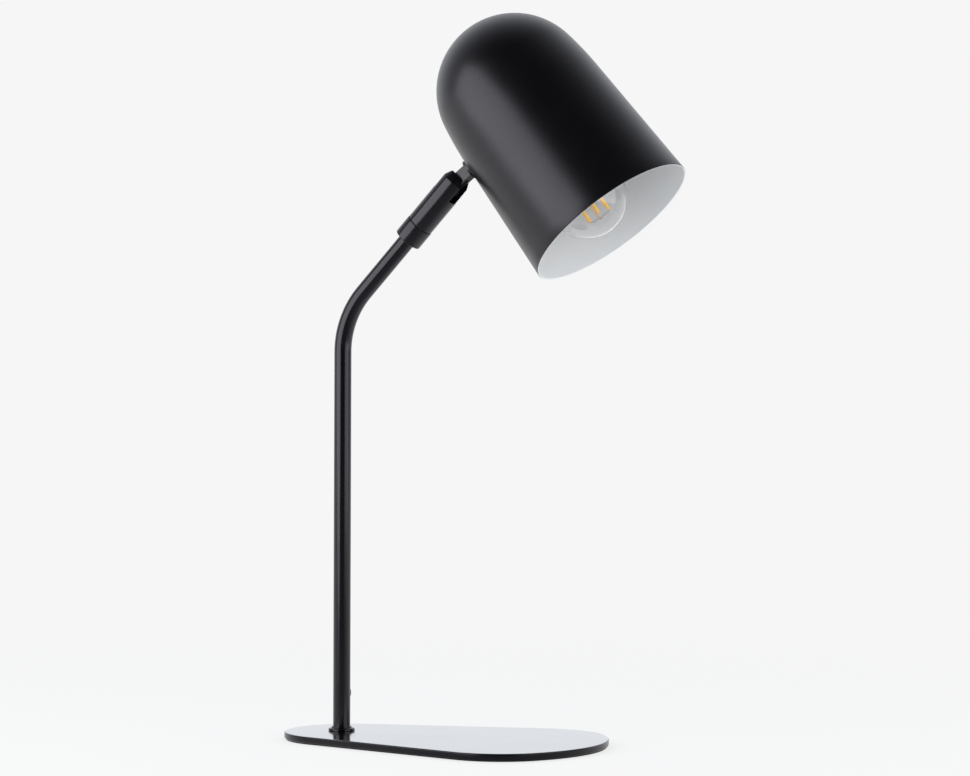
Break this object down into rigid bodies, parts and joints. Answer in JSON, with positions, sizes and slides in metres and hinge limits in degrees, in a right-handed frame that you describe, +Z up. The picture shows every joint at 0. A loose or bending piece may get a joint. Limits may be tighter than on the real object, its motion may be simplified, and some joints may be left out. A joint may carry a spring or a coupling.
{
  "type": "desk lamp",
  "caption": "Desk lamp with a bullet shade on a swivelling and tilting knuckle, a bent tube stem and a thin pear-shaped foot plate, with a clear filament bulb.",
  "frame": {"origin": "the point on the table straight below the stem's axis, on the underside of the foot pad", "axes": "+Z up along the stem's upright run; +X along the foot plate to its wide end, the side that the shade stands over; +Y to the side that the lead inlet faces"},
  "size_m": [0.3131, 0.1694, 0.5409],
  "materials": {
    "black_steel": "satin black powder coat on steel",
    "black_aluminium": "satin black powder coat outside and white enamel inside, on spun aluminium",
    "steel": "zinc plated",
    "black_steel_screws": "black oxide",
    "foot_pad": "matt black closed-cell foam rubber",
    "black_rubber": "matt black",
    "nylon": "black nylon",
    "bakelite": "black thermoset",
    "steatite": "unglazed white",
    "brass": "bare, drawn",
    "cap_metal": "bare, rolled thread",
    "cap_glass": "black insulating glass",
    "clear_glass": "clear",
    "mount_glass": "clear, pressed",
    "filament": "yellow phosphor coat over the LED strip",
    "wire": "bright"
  },
  "bodies": {
    "stand": {"base_plate": "black_steel", "base_pad": "foot_pad", "base_screw": "steel", "stem_plug": "steel", "foot_flange": "black_steel", "locating_dowel": "steel", "stem_tube": "black_steel", "cord_inlet": "black_rubber", "arm_collar": "black_steel", "collar_screw": "black_steel_screws", "swivel_spigot": "steel", "swivel_stop": "steel", "swivel_washer": "nylon"},
    "knuckle": {"knuckle_body": "black_steel", "swivel_guide_screw": "black_steel_screws", "pivot_pin": "steel", "tilt_washers": "steel"},
    "head": {"knuckle_tongue": "black_steel", "shade_saddle": "nylon", "star_washer": "steel", "shade_nut": "steel", "shade": "black_aluminium", "holder_strap": "steel", "holder_nipple": "steel", "holder_locknut": "steel", "holder_cap": "bakelite", "holder_skirt": "bakelite", "screw_shell": "brass", "holder_core": "steatite", "centre_contact": "brass", "terminal_screws": "brass", "bulb_glass": "clear_glass", "bulb_cap": "cap_metal", "bulb_insulator": "cap_glass", "bulb_contact": "steel", "bulb_mount": "mount_glass", "filament_wires": "wire", "bulb_filaments": "filament"}
  },
  "joints": [
    {"name": "head_swivel", "type": "hinge", "parent": "stand", "child": "knuckle", "pos_m": [0.06466, 0, 0.3868], "axis": [0.6858, 0, 0.7278], "range_deg": [-150, 150]},
    {"name": "head_tilt", "type": "hinge", "parent": "knuckle", "child": "head", "pos_m": [0.08976, 0, 0.41343], "axis": [0, 1, 0], "range_deg": [-75, 75]}
  ]
}
